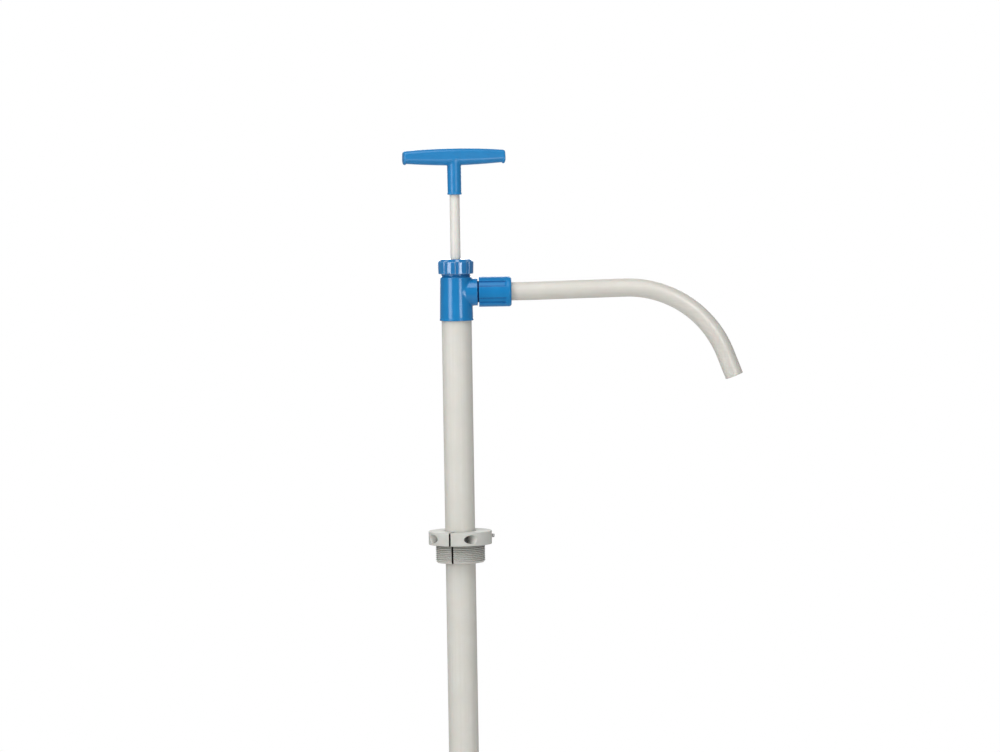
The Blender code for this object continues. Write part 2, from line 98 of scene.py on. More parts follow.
class Finish:
    """A small builder for node materials in object coordinates (metres)."""

    def __init__(self, name):
        self.mat = bpy.data.materials.new(name)
        self.mat.use_nodes = True
        self.tree = self.mat.node_tree
        self.shader = self.tree.nodes["Principled BSDF"]
        self.coord = self.tree.nodes.new("ShaderNodeTexCoord")
        self.chain = None

    def link(self, a, b):
        self.tree.links.new(a, b)

    def node(self, kind, **inputs):
        n = self.tree.nodes.new(kind)
        for key, value in inputs.items():
            n.inputs[key.replace("_", " ")].default_value = value
        return n

    def noise(self, scale, stretch=(1, 1, 1), detail=3.0, rough=0.55):
        mapping = self.tree.nodes.new("ShaderNodeMapping")
        mapping.inputs["Scale"].default_value = stretch
        self.link(self.coord.outputs["Object"], mapping.inputs["Vector"])
        n = self.node("ShaderNodeTexNoise", Scale=scale, Detail=detail, Roughness=rough)
        self.link(mapping.outputs["Vector"], n.inputs["Vector"])
        return n.outputs["Fac"]

    def ramp(self, fac, low, high, a=0.35, b=0.65):
        """Map a noise to low..high between a and b."""
        n = self.tree.nodes.new("ShaderNodeMapRange")
        n.inputs["From Min"].default_value = a
        n.inputs["From Max"].default_value = b
        n.inputs["To Min"].default_value = low
        n.inputs["To Max"].default_value = high
        self.link(fac, n.inputs["Value"])
        return n.outputs["Result"]

    def mix(self, fac, a, b):
        n = self.tree.nodes.new("ShaderNodeMix")
        n.data_type = 'RGBA'
        for sock, value in ((n.inputs[6], a), (n.inputs[7], b)):
            if hasattr(value, "is_linked") or hasattr(value, "links"):
                self.link(value, sock)
            else:
                sock.default_value = value
        self.link(fac, n.inputs[0])
        return n.outputs[2]

    def multiply(self, a, b):
        n = self.tree.nodes.new("ShaderNodeMath")
        n.operation = 'MULTIPLY'
        for sock, value in ((n.inputs[0], a), (n.inputs[1], b)):
            if hasattr(value, "links"):
                self.link(value, sock)
            else:
                sock.default_value = value
        return n.outputs[0]

    def edges(self, low, high):
        """Pointiness mask: 1 where the surface turns sharply outwards, and where it turns inwards when low is above
        high; it carries worn edges, painted glints and darker inner corners.
        """
        geo = self.tree.nodes.new("ShaderNodeNewGeometry")
        return self.ramp(geo.outputs["Pointiness"], 0.0, 1.0, low, high)

    def painted_recess_shade(self, reach, low, high):
        """Mask for painted shade, from ambient occlusion: 1 deep in slits, threads and pockets, 0 on open surfaces."""
        n = self.node("ShaderNodeAmbientOcclusion", Distance=reach)
        n.samples = 8
        return self.ramp(n.outputs["AO"], 1.0, 0.0, low, high)

    def plane(self, normal, near, far):
        """1 close to the plane through the origin, 0 beyond far."""
        dot = self.tree.nodes.new("ShaderNodeVectorMath")
        dot.operation = 'DOT_PRODUCT'
        dot.inputs[1].default_value = normal
        self.link(self.coord.outputs["Object"], dot.inputs[0])
        size = self.tree.nodes.new("ShaderNodeMath")
        size.operation = 'ABSOLUTE'
        self.link(dot.outputs["Value"], size.inputs[0])
        return self.ramp(size.outputs[0], 1.0, 0.0, near, far)

    def height(self, full, none):
        """1 below the first height, 0 above the second."""
        split = self.tree.nodes.new("ShaderNodeSeparateXYZ")
        self.link(self.coord.outputs["Object"], split.inputs[0])
        return self.ramp(split.outputs["Z"], 1.0, 0.0, full, none)

    def along(self, start, end, low, high):
        """Goes from low to high between two places along X."""
        split = self.tree.nodes.new("ShaderNodeSeparateXYZ")
        self.link(self.coord.outputs["Object"], split.inputs[0])
        return self.ramp(split.outputs["X"], low, high, start, end)

    def bump(self, height, strength, distance):
        n = self.node("ShaderNodeBump", Strength=strength, Distance=distance)
        self.link(height, n.inputs["Height"])
        if self.chain is not None:
            self.link(self.chain, n.inputs["Normal"])
        self.chain = n.outputs["Normal"]

    def done(self, colour=None, roughness=None, **fixed):
        if colour is not None:
            self.link(colour, self.shader.inputs["Base Color"])
        if roughness is not None:
            self.link(roughness, self.shader.inputs["Roughness"])
        if self.chain is not None:
            self.link(self.chain, self.shader.inputs["Normal"])
        for key, value in fixed.items():
            self.shader.inputs[key.replace("_", " ")].default_value = value
        return self.mat


def blue_moulding(name, deep, mid, pale, gloss=(0.13, 0.21), shine=0.5, wear_and_glint=(0.515, 0.60, 0.0, 0.55), crease_shade=(0.0017, 0.42, 0.80)):
    """Moulded blue polypropylene: faint flow mottling, fine skin, pale scuffed edges that on the cap are pushed up into
    painted glints, and painted shade in recesses and creases.
    """
    f = Finish(name)
    flow = f.ramp(f.noise(38.0, (1, 1, 0.6), 4.0), 0.0, 1.0, 0.3, 0.7)
    colour = f.mix(flow, deep, mid)
    # pale on sharp outer edges: real scuffing, and on the cap a painted glint along the flute edges
    scuff_and_glint = f.multiply(f.edges(wear_and_glint[0], wear_and_glint[1]), f.ramp(f.noise(420.0), wear_and_glint[2], wear_and_glint[3], 0.42, 0.66))
    colour = f.mix(scuff_and_glint, colour, pale)
    # painted shade: dark blue laid into slits, threads, pockets and gaps between parts
    colour = f.mix(f.painted_recess_shade(0.006, 0.25, 0.85), colour, rgb(6, 40, 112))
    # painted shade: deeper blue laid into the narrow creases at the foot of walls and flutes
    colour = f.mix(f.painted_recess_shade(*crease_shade), colour, rgb(4, 36, 112))
    rough = f.ramp(f.noise(210.0, detail=5.0), gloss[0], gloss[1], 0.3, 0.7)
    f.bump(f.noise(950.0, detail=2.0), 0.10, 0.00012)
    f.bump(f.noise(120.0, detail=2.0), 0.08, 0.0004)
    return f.done(colour, rough, IOR=1.49, Specular_IOR_Level=shine)


def cream_extrusion(name, dark, light, stretch, gloss=(0.5, 0.66), polish=None):
    """Extruded pebble-grey polypropylene: long die lines, slight mottling, dull satin skin, shinier where it was bent hot."""
    f = Finish(name)
    lines = f.ramp(f.noise(1.0, stretch, 4.0, 0.6), 0.0, 1.0, 0.3, 0.7)
    cloud = f.ramp(f.noise(26.0, detail=4.0), 0.0, 1.0, 0.3, 0.7)
    colour = f.mix(f.multiply(lines, cloud), dark, light)
    speck = f.ramp(f.noise(900.0, detail=1.0), 0.0, 0.2, 0.66, 0.74)
    colour = f.mix(speck, colour, rgb(176, 170, 156))
    rough = f.ramp(f.noise(160.0, detail=4.0), gloss[0], gloss[1], 0.3, 0.7)
    grooves, grain = f.noise(1.0, stretch, 3.0), f.noise(1100.0, detail=1.0)
    if polish:
        rough = f.multiply(rough, f.along(*polish))
        smooth = f.along(polish[0], polish[1], 1.0, 0.08)
        grooves, grain = f.multiply(grooves, smooth), f.multiply(grain, smooth)
    f.bump(grooves, 0.06, 0.0003)
    f.bump(grain, 0.05, 0.0001)
    return f.done(colour, rough, IOR=1.49, Subsurface_Weight=0.12, Subsurface_Scale=0.004)


def cream_machined(name, dark, light, split):
    """Moulded and turned plastic: fine tool rings, patchy darkening where the surface turns inwards, painted shade in
    pockets and recesses, and painted shade in the slit of a split piece.
    """
    f = Finish(name)
    cloud = f.ramp(f.noise(45.0, detail=5.0), 0.0, 1.0, 0.3, 0.7)
    colour = f.mix(cloud, dark, light)
    # darker, in patches, where the surface turns inwards
    inner_corner_darkening = f.multiply(f.edges(0.492, 0.40), f.ramp(f.noise(90.0), 0.1, 0.5, 0.4, 0.7))
    colour = f.mix(inner_corner_darkening, colour, rgb(150, 144, 130))
    # painted shade: dark brown-grey laid into pockets, the slit and thread roots
    colour = f.mix(f.painted_recess_shade(0.012, 0.15, 0.70), colour, rgb(58, 54, 48))
    if split:
        # painted shade: near-black on the slit walls below the top face
        slit = f.multiply(f.plane((-math.sin(SLIT_ANGLE), math.cos(SLIT_ANGLE), 0.0), 0.00108, 0.0013), f.height(0.0142, 0.0154))
        colour = f.mix(slit, colour, rgb(30, 28, 25))
    rough = f.ramp(f.noise(240.0, detail=4.0), 0.58, 0.74, 0.3, 0.7)
    f.bump(f.noise(1.0, (60, 60, 2200), 2.0), 0.05, 0.0002)
    f.bump(f.noise(800.0, detail=2.0), 0.06, 0.0001)
    return f.done(colour, rough, IOR=1.49, Specular_IOR_Level=0.2, Subsurface_Weight=0.1, Subsurface_Scale=0.004)


def white_rod(name):
    """Drawn white rod: polished by the gland, with faint wiping streaks along it."""
    f = Finish(name)
    streak = f.ramp(f.noise(1.0, (900, 900, 7), 4.0), 0.0, 1.0, 0.3, 0.7)
    colour = f.mix(streak, rgb(215, 212, 205), rgb(228, 226, 221))
    rough = f.ramp(f.noise(1.0, (700, 700, 12), 3.0), 0.42, 0.58, 0.3, 0.7)
    f.bump(f.noise(1.0, (1200, 1200, 5), 2.0), 0.05, 0.0002)
    return f.done(colour, rough, IOR=1.5, Subsurface_Weight=0.15, Subsurface_Scale=0.003)


def natural_plastic(name):
    f = Finish(name)
    cloud = f.ramp(f.noise(70.0, detail=4.0), 0.0, 1.0, 0.3, 0.7)
    colour = f.mix(cloud, rgb(214, 212, 202), rgb(228, 226, 218))
    rough = f.ramp(f.noise(300.0), 0.36, 0.5, 0.3, 0.7)
    f.bump(f.noise(900.0), 0.06, 0.0001)
    return f.done(colour, rough, IOR=1.5, Subsurface_Weight=0.15, Subsurface_Scale=0.003)


def black_rubber(name):
    f = Finish(name)
    cloud = f.ramp(f.noise(150.0, detail=4.0), 0.0, 1.0, 0.3, 0.7)
    colour = f.mix(cloud, rgb(28, 28, 30), rgb(44, 44, 46))
    rough = f.ramp(f.noise(500.0), 0.55, 0.75, 0.3, 0.7)
    f.bump(f.noise(1500.0), 0.1, 0.0001)
    return f.done(colour, rough, IOR=1.5)


def stainless(name):
    f = Finish(name)
    brush = f.ramp(f.noise(1.0, (2500, 300, 300), 3.0), 0.0, 1.0, 0.3, 0.7)
    colour = f.mix(brush, rgb(176, 176, 176), rgb(206, 205, 203))
    rough = f.ramp(f.noise(800.0), 0.22, 0.38, 0.3, 0.7)
    f.bump(f.noise(1400.0), 0.04, 0.0001)
    return f.done(colour, rough, Metallic=1.0)


BLUE = blue_moulding("blue_moulding", rgb(14, 116, 178), rgb(20, 127, 189), rgb(122, 182, 224))
# On the cap the pale edge colour is near white and strong, a painted glint on the flute edges, and its creases get
# painted shade.
BLUE_CAP = blue_moulding("blue_cap", rgb(12, 112, 174), rgb(18, 123, 185), rgb(196, 222, 241), (0.06, 0.11), 1.0,
                         wear_and_glint=(0.508, 0.55, 0.5, 0.9), crease_shade=(0.0024, 0.60, 0.92))
# The union's strong crease colour is painted shade along its flute walls.
BLUE_UNION = blue_moulding("blue_union", rgb(14, 116, 178), rgb(20, 127, 189), rgb(122, 182, 224), (0.30, 0.40), 0.25,
                           crease_shade=(0.003, 0.66, 0.95))
BLUE_HANDLE = blue_moulding("blue_handle", rgb(20, 122, 184), rgb(27, 132, 194), rgb(122, 182, 224), (0.28, 0.38))
CREAM_Z = cream_extrusion("cream_extrusion_upright", rgb(207, 205, 197), rgb(217, 215, 209), (420, 420, 5))
CREAM_X = cream_extrusion("cream_extrusion_level", rgb(205, 202, 194), rgb(217, 214, 207), (5, 420, 420), (0.46, 0.60),
                          polish=(0.18, 0.26, 1.0, 0.68))
COLLAR = cream_machined("cream_collar", rgb(196, 196, 189), rgb(206, 206, 201), True)
FOOT = cream_machined("cream_foot", rgb(208, 205, 196), rgb(219, 217, 210), False)
ROD = white_rod("white_rod")
NATURAL = natural_plastic("natural_plastic")
RUBBER = black_rubber("black_rubber")
STEEL = stainless("stainless_fastener")


# ------------------------------------------------------------------ mesh helpers
def piece(node, verts, faces, mat, matrix=None, sharp=None):
    """A finished surface that stands for one CAD node and moves with its body."""
    mesh = bpy.data.meshes.new(node + "_surface")
    mesh.from_pydata([tuple(float(c) * MM for c in v) for v in verts], [], [tuple(int(i) for i in f) for f in faces])
    mesh.validate()
    if matrix is not None:
        m = matrix.copy()
        m.translation = m.translation * MM
        mesh.transform(m)
    bm = bmesh.new()
    bm.from_mesh(mesh)
    bmesh.ops.recalc_face_normals(bm, faces=bm.faces)
    bm.to_mesh(mesh)
    bm.free()
    mesh.shade_smooth()
    if sharp is not None:
        mesh.set_sharp_from_angle(angle=math.radians(sharp))
    mesh.materials.append(mat)
    obj = bpy.data.objects.new(node + "_surface", mesh)
    bpy.context.scene.collection.objects.link(obj)
    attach(obj, frame["nodes"][node]["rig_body"])
    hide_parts(node)
    return obj


def rounded(points, steps=5):
    """A closed outline; a third number on a point is its corner radius."""
    out, n = [], len(points)
    for i, p in enumerate(points):
        b = Vector(p[:2])
        rad = p[2] if len(p) > 2 else 0.0
        a, c = Vector(points[i - 1][:2]), Vector(points[(i + 1) % n][:2])
        u, v = (a - b), (c - b)
        if rad <= 0 or u.length < 1e-6 or v.length < 1e-6:
            out.append(tuple(b))
            continue
        lu, lv = u.length, v.length
        u, v = u / lu, v / lv
        ang = math.acos(max(-1.0, min(1.0, u.dot(v))))
        if ang > math.pi - 0.02:
            out.append(tuple(b))
            continue
        d = min(rad / math.tan(ang / 2), lu * 0.48, lv * 0.48)
        r = d * math.tan(ang / 2)
        centre = b + (u + v).normalized() * (r / math.sin(ang / 2))
        p0, p1 = b + u * d - centre, b + v * d - centre
        a0, a1 = math.atan2(p0.y, p0.x), math.atan2(p1.y, p1.x)
        turn = (a1 - a0 + math.pi) % (2 * math.pi) - math.pi
        for k in range(steps + 1):
            t = a0 + turn * k / steps
            out.append((centre.x + r * math.cos(t), centre.y + r * math.sin(t)))
    return out


def split_long(points, longest):
    """Put extra points on long sides, so that a radius rule can shape them."""
    out = []
    for i, p in enumerate(points):
        q = points[(i + 1) % len(points)]
        n = max(1, math.ceil(math.hypot(q[0] - p[0], q[1] - p[1]) / longest))
        out += [(p[0] + (q[0] - p[0]) * k / n, p[1] + (q[1] - p[1]) * k / n) for k in range(n)]
    return out


def spun(points, segments, radius_at=None, start=0.0):
    """Spin a closed (radius, height) outline round Z, from start segments past +X."""
    verts, rows = [], []
    for r, z in points:
        if abs(r) < 1e-6:
            rows.append([len(verts)] * segments)
            verts.append((0.0, 0.0, z))
            continue
        row = []
        for k in range(segments):
            a = 2 * math.pi * (k + start) / segments
            rr = r if radius_at is None else radius_at(r, z, a)
            row.append(len(verts))
            verts.append((rr * math.cos(a), rr * math.sin(a), z))
        rows.append(row)
    faces = []
    for i in range(len(rows)):
        a, b = rows[i], rows[(i + 1) % len(rows)]
        if a[0] == a[1] and b[0] == b[1]:
            continue
        for k in range(segments):
            j = (k + 1) % segments
            quad = [a[k], a[j], b[j], b[k]]
            faces.append([v for n, v in enumerate(quad) if v not in quad[:n]])
    return verts, faces


# Distance fields, for pieces whose walls flow into each other.
def outline_distance(points, r, z):
    """Signed distance to a closed outline, negative inside."""
    best = np.full(r.shape, 1e9)
    inside = np.zeros(r.shape, bool)
    for (ax, az), (bx, bz) in zip(points, points[1:] + points[:1]):
        ex, ez = bx - ax, bz - az
        size = ex * ex + ez * ez
        if size < 1e-12:
            continue
        wx, wz = r - ax, z - az
        t = np.clip((wx * ex + wz * ez) / size, 0, 1)
        np.minimum(best, (wx - ex * t) ** 2 + (wz - ez * t) ** 2, out=best)
        if abs(ez) > 1e-12:
            inside ^= ((az > z) != (bz > z)) & (wx < ex * wz / ez)
    best = np.sqrt(best)
    return np.where(inside, -best, best)


def join(a, b, radius):
    """Union with a round fillet."""
    return np.maximum(radius, np.minimum(a, b)) - np.hypot(np.maximum(radius - a, 0), np.maximum(radius - b, 0))


def common(a, b, radius):
    """Intersection with a rounded edge."""
    return np.minimum(-radius, np.maximum(a, b)) + np.hypot(np.maximum(radius + a, 0), np.maximum(radius + b, 0))


def cut(a, b, radius):
    return common(a, -b, radius)


def skin(field, low, high, step, project=4):
    """Closed quad mesh of field = 0, with its points settled on the surface."""
    low, high = np.array(low, float), np.array(high, float)
    n = np.ceil((high - low) / step).astype(int) + 1
    axes = [low[i] + step * np.arange(n[i]) for i in range(3)]
    d = field(*np.meshgrid(*axes, indexing='ij'))
    inside = d < 0
    corners = [(i, j, k) for i in (0, 1) for j in (0, 1) for k in (0, 1)]
    count = sum(inside[tuple(slice(o[a], n[a] - 1 + o[a]) for a in range(3))].astype(np.int8) for o in corners)
    active = (count > 0) & (count < 8)
    index = np.full(active.shape, -1)
    index[active] = np.arange(int(active.sum()))
    cell = np.argwhere(active)
    total, hits = np.zeros((len(cell), 3)), np.zeros(len(cell))
    for a in corners:
        for axis in range(3):
            if a[axis]:
                continue
            b = tuple(a[i] + (i == axis) for i in range(3))
            da = d[tuple((cell + a).T)]
            db = d[tuple((cell + b).T)]
            cross = (da < 0) != (db < 0)
            t = np.where(cross, da / np.where(cross, da - db, 1.0), 0.0)
            p = np.array(a, float) + t[:, None] * (np.array(b, float) - np.array(a, float))
            total += p * cross[:, None]
            hits += cross
    verts = low + step * (cell + total / hits[:, None])
    faces = []
    for axis in range(3):
        u, v = (axis + 1) % 3, (axis + 2) % 3
        first = [slice(0, n[i]) for i in range(3)]
        first[axis] = slice(0, n[axis] - 1)
        second = list(first)
        second[axis] = slice(1, n[axis])
        a_in, b_in = inside[tuple(first)], inside[tuple(second)]
        g = np.argwhere(a_in != b_in)
        out = a_in[tuple(g.T)]
        ring = []
        for du, dv in ((-1, -1), (0, -1), (0, 0), (-1, 0)):
            c = g.copy()
            c[:, u] += du
            c[:, v] += dv
            ring.append(index[tuple(c.T)])
        ring = np.stack(ring, 1)
        ring[~out] = ring[~out][:, ::-1]
        faces.append(ring)
    faces = np.concatenate(faces)
    e = step * 0.05
    for _ in range(project):
        f = field(*verts.T)
        g = np.empty_like(verts)
        for axis in range(3):
            q = verts.copy()
            q[:, axis] += e
            hi = field(*q.T)
            q[:, axis] -= 2 * e
            g[:, axis] = (hi - field(*q.T)) / (2 * e)
        move = -f[:, None] * g / np.maximum((g * g).sum(1), 0.1)[:, None]
        size = np.linalg.norm(move, axis=1)
        move *= np.minimum(1.0, 0.4 * step / np.maximum(size, 1e-9))[:, None]
        verts = verts + move
    return verts, faces


def thread(r, root, height, z, angle, pitch, fill=0.5):
    """Distance to a screwed cylinder: rounded ridges that climb round the axis."""
    phase = (z / pitch - angle / (2 * math.pi)) % 1.0
    ridge = 0.5 - 0.5 * np.cos(2 * math.pi * phase)
    ridge = np.clip((ridge - (1 - fill)) / fill, 0, 1)
    return r - (root + height * ridge * ridge * (3 - 2 * ridge))


# ------------------------------------------------------------------ barrel and spout
piece("barrel_tube", *spun(rounded([
    (BARREL_BORE_R, BARREL_BOTTOM, 0.4), (BARREL_R, BARREL_BOTTOM, 0.7), (BARREL_R, BARREL_TOP, 0.7),
    (BARREL_BORE_R, BARREL_TOP, 0.4)], 3), 128), CREAM_Z)


def spout_line(arc_steps=60):
    x, z, heading = SPOUT_START, 0.0, 0.0
    out = [(x, z, heading)]
    out += [(SPOUT_START + (72.0 - SPOUT_START) * k / 4, 0.0, 0.0) for k in range(1, 5)]
    x, steps = 72.0, 12
    for k in range(1, steps + 1):                      # the run eases into its slight climb
        t = k / steps
        now = SPOUT_RISE * t * t * (3 - 2 * t)
        z += math.tan((heading + now) / 2) * 24.0 / steps
        x, heading = x + 24.0 / steps, now
        out.append((x, z, heading))
    for k in range(1, 13):
        out.append((x + (SPOUT_BEND_AT - x) * k / 12, z + math.tan(SPOUT_RISE) * (SPOUT_BEND_AT - x) * k / 12, heading))
    x0, z0, _ = out[-1]
    for k in range(1, arc_steps + 1):
        heading = SPOUT_RISE - (SPOUT_RISE + SPOUT_DROP) * k / arc_steps
        out.append((x0 + SPOUT_BEND_R * (math.sin(SPOUT_RISE) - math.sin(heading)),
                    z0 - SPOUT_BEND_R * (math.cos(SPOUT_RISE) - math.cos(heading)), heading))
    x, z, heading = out[-1]
    out += [(x + SPOUT_TAIL * k / 6 * math.cos(heading), z + SPOUT_TAIL * k / 6 * math.sin(heading), heading)
            for k in range(1, 7)]
    return out


def swept(line, loops, segments):
    """A closed skin round a line; loops gives (station, along, radius) for each ring of the skin."""
    verts, faces = [], []
    for station, along, radius in loops:
        x, z, h = line[station]
        x, z = x + along * math.cos(h), z + along * math.sin(h)
        for k in range(segments):
            a = 2 * math.pi * k / segments
            verts.append((x - math.sin(h) * radius * math.sin(a), radius * math.cos(a),
                          z + math.cos(h) * radius * math.sin(a)))
    m = len(loops)
    for i in range(m):
        j = (i + 1) % m
        for k in range(segments):
            n = (k + 1) % segments
            faces.append((i * segments + k, i * segments + n, j * segments + n, j * segments + k))
    return verts, faces


line = spout_line()
last = len(line) - 1
edge = 0.5
loops = [(0, 0.0, SPOUT_R - edge), (0, edge * 0.3, SPOUT_R - edge * 0.3), (0, edge, SPOUT_R)]
loops += [(i, 0.0, SPOUT_R) for i in range(1, last)]
loops += [(last, -edge, SPOUT_R), (last, -edge * 0.3, SPOUT_R - edge * 0.3), (last, 0.0, SPOUT_R - edge)]
loops += [(last, 0.0, SPOUT_BORE_R + edge), (last, -edge * 0.3, SPOUT_BORE_R + edge * 0.3), (last, -edge, SPOUT_BORE_R)]
loops += [(i, 0.0, SPOUT_BORE_R) for i in range(last - 1, 0, -1)]
loops += [(0, edge, SPOUT_BORE_R), (0, 0.0, SPOUT_BORE_R + edge * 0.5)]
spout = piece("spout_tube", *swept(line, loops, 72), CREAM_X, Matrix.Translation((0, 0, BRANCH_Z)))


# ------------------------------------------------------------------ tee head
tee_outline = rounded([
    (-60.0, TEE_BOTTOM), (TEE_R_BOTTOM, TEE_BOTTOM, 1.0), (TEE_R_BOTTOM, TEE_BOTTOM + 1.9, 1.2),
    (TEE_R_BOTTOM - 0.45, TEE_BOTTOM + 3.0, 1.2), (TEE_R_TOP, TEE_SHOULDER, 2.6),
    (NECK_R, TEE_SHOULDER), (NECK_R - 4, TEE_SHOULDER), (NECK_R - 4, NECK_TOP - 2.2), (-60.0, NECK_TOP - 2.2)])
branch_outline = rounded([
    (-60.0, 0.0), (BRANCH_R, 0.0), (BRANCH_R, BRANCH_END, 0.7), (BRANCH_NECK_R - 2, BRANCH_END),
    (BRANCH_NECK_R - 2, BRANCH_NECK_END - 3), (-60.0, BRANCH_NECK_END - 3)])
tee_bore = rounded([
    (-60.0, TEE_BOTTOM - 5), (COLLAR_BORE_R, TEE_BOTTOM - 5), (COLLAR_BORE_R, BARREL_TOP + 1.6),
    (14.6, BARREL_TOP + 1.6), (14.6, 313.0), (8.0, 315.0), (8.0, TEE_SHOULDER - 0.3),
    (12.0, TEE_SHOULDER - 0.3), (12.0, NECK_TOP + 5), (-60.0, NECK_TOP + 5)])
outlet_bore = [(-60.0, 4.0), (OUTLET_BORE_R, 4.0), (OUTLET_BORE_R, SOCKET_START), (SPOUT_R + 0.4, SOCKET_START),
               (SPOUT_R + 0.4, BRANCH_NECK_END + 5), (-60.0, BRANCH_NECK_END + 5)]


def tee_field(x, y, z):
    r = np.hypot(x, y)
    s = np.hypot(y, z - BRANCH_Z)
    body = outline_distance(tee_outline, r, z)
    arm = outline_distance(branch_outline, s, x)
    d = join(body, arm, 1.4)
    neck = thread(r, NECK_R, NECK_CREST_R - NECK_R, z - 0.4, np.arctan2(y, x), 3.6)
    neck = common(common(neck, z - NECK_TOP, 0.8), TEE_SHOULDER - 6 - z, 0.2)
    d = join(d, neck, 0.7)
    spigot = thread(s, BRANCH_NECK_R - 0.5, 0.6, x, np.arctan2(z - BRANCH_Z, y), 3.0)
    spigot = common(common(spigot, x - BRANCH_NECK_END, 0.8), BRANCH_END - 6 - x, 0.2)
    d = join(d, spigot, 0.4)
    d = cut(d, outline_distance(tee_bore, r, z), 0.35)
    return cut(d, outline_distance(outlet_bore, s, x), 0.35)


piece("tee_head", *skin(tee_field, (-22, -22, TEE_BOTTOM - 2), (BRANCH_NECK_END + 2, 22, NECK_TOP + 2), 0.55), BLUE)


# ------------------------------------------------------------------ nuts
def fluted(count, first, outer, depth, half_width, wall, stop=1e6):
    """Radius rule: flat-bottomed grip flutes with steep walls, cut parallel to the axis and run out before stop."""
    pitch = 2 * math.pi / count

    def rule(r, z, angle):
        if r < outer - 3.6:
            return r
        off = (angle - math.radians(first) + pitch / 2) % pitch - pitch / 2
        t = min(max((abs(off) * outer - half_width) / wall + 0.5, 0.0), 1.0)
        out = min(max((stop - z) / 2.4, 0.0), 1.0)
        return min(r, outer - depth * out * (1 - t * t * (3 - 2 * t)))
    return rule


cap_outline = split_long(rounded([
    (NECK_CREST_R + 0.6, CAP_BOTTOM, 0.5), (CAP_R - 0.5, CAP_BOTTOM, 0.8), (CAP_R, CAP_TOP - 3.4, 1.2),
    (CAP_R - 3.4, CAP_TOP, 1.0), (ROD_R + 0.5, CAP_TOP, 0.8), (ROD_R + 0.5, NECK_TOP + 2.8),
    (NECK_CREST_R + 0.6, NECK_TOP + 2.8)], 6), 3.0)
piece("cap_nut", *spun(cap_outline, CAP_FLUTES * 60, fluted(CAP_FLUTES, CAP_FLUTE_AT, CAP_R, 1.2, 2.2, 1.2), 0.667), BLUE_CAP, sharp=50)

union_outline = split_long(rounded([
    (13.9, UNION_START, 0.5), (UNION_R, UNION_START, 0.5), (UNION_R, UNION_END, 4.0),
    (SPOUT_R + 0.5, UNION_END, 0.8), (SPOUT_R + 0.5, 62.0), (13.9, 57.0)], 10), 0.9)
piece("union_nut", *spun(union_outline, UNION_FLUTES * 90, fluted(UNION_FLUTES, UNION_FLUTE_AT, UNION_R, 1.5, 4.1, 0.9, 60.8), 0.917), BLUE_UNION,
      Matrix.Translation((0, 0, BRANCH_Z)) @ TO_X, sharp=50)


# ------------------------------------------------------------------ handle
def handle_field(x, y, z):
    t = np.clip(np.abs(x) / HANDLE_BAR_HALF, 0, 1)
    low = BAR_LOW + 3.0 * t ** 1.6
    high = BAR_HIGH - 2.6 * t ** 2.2
    half = 8.6 - 1.4 * t - 0.11 * np.maximum(z - BAR_LOW - 6.5, 0)
    lip = np.clip((np.abs(x) - 58.6) / 2.2, 0, 1)
    low = low - 1.5 * lip * lip * (3 - 2 * lip)
    mid, tall = (low + high) / 2, (high - low) / 2
    corner = np.where(z < mid, np.minimum(8.0, 0.94 * half), 4.6)       # full below, tighter above
    qy, qz = np.abs(y) - (half - corner), np.abs(z - mid) - (tall - corner)
    bar = np.hypot(np.maximum(qy, 0), np.maximum(qz, 0)) + np.minimum(np.maximum(qy, qz), 0) - corner
    bar = common(bar, np.abs(x) - HANDLE_BAR_HALF, 2.0)
    r = np.hypot(x, y)
    stem = common(r - (STEM_R + 0.2 * (z - STEM_BOTTOM) / 35.0), np.abs(z - 442.0) - (442.0 - STEM_BOTTOM), 0.8)
    bead = np.hypot(np.maximum(np.abs(r - STEM_R + 0.6) - 0.5, 0), np.maximum(np.abs(z - STEM_BOTTOM - 1.2) - 0.4, 0)) - 0.6
    d = join(join(bar, stem, 0.9), bead, 0.5)
    return cut(d, common(r - ROD_R - 0.3, z - ROD_TOP - 0.5, 0.2), 0.3)


piece("t_handle", *skin(handle_field, (-64, -11, STEM_BOTTOM - 1.5), (64, 11, BAR_HIGH + 1.5), 0.7), BLUE_HANDLE,
      Matrix.Rotation(HANDLE_YAW, 4, 'Z'))

# ------------------------------------------------------------------ collar halves
slit_dir = (math.cos(SLIT_ANGLE), math.sin(SLIT_ANGLE))
across = (-slit_dir[1], slit_dir[0])
THREAD_ROOT, THREAD_PITCH = THREAD_R - 1.25, 2.31
collar_outline = rounded([
    (COLLAR_BORE_R, -THREAD_LEN, 0.5), (THREAD_ROOT - 0.9, -THREAD_LEN, 0.4), (THREAD_ROOT, -THREAD_LEN + 0.9)])[:-1]
collar_outline += [(THREAD_ROOT, -THREAD_LEN + 0.9 + (THREAD_LEN - 0.9) * k / 92) for k in range(93)]
collar_outline += rounded([
    (THREAD_ROOT, 0.0), (COLLAR_R, 0.0, 0.5), (COLLAR_R, COLLAR_H, 0.7), (COLLAR_BORE_R, COLLAR_H, 0.6),
    (COLLAR_BORE_R, 9.0), (20.9, 9.0), (20.9, 4.0), (COLLAR_BORE_R, 4.0)])[1:]


def pipe_thread(r, z, angle):
    """Radius rule: rounded crests that climb round the spigot and run out at both ends."""
    if abs(r - THREAD_ROOT) > 1e-6 or z > -1.0:
        return r
    crest = 1 - abs(2 * ((z / THREAD_PITCH - angle / (2 * math.pi)) % 1.0) - 1)
    crest = min(max((crest - 0.12) / 0.76, 0.0), 1.0)
    ends = min(max((-1.2 - z) / 1.6, 0.0), 1.0) * min(max((z + THREAD_LEN - 0.9) / 1.6, 0.0), 1.0)
    return r + 1.2 * crest * crest * (3 - 2 * crest) * ends


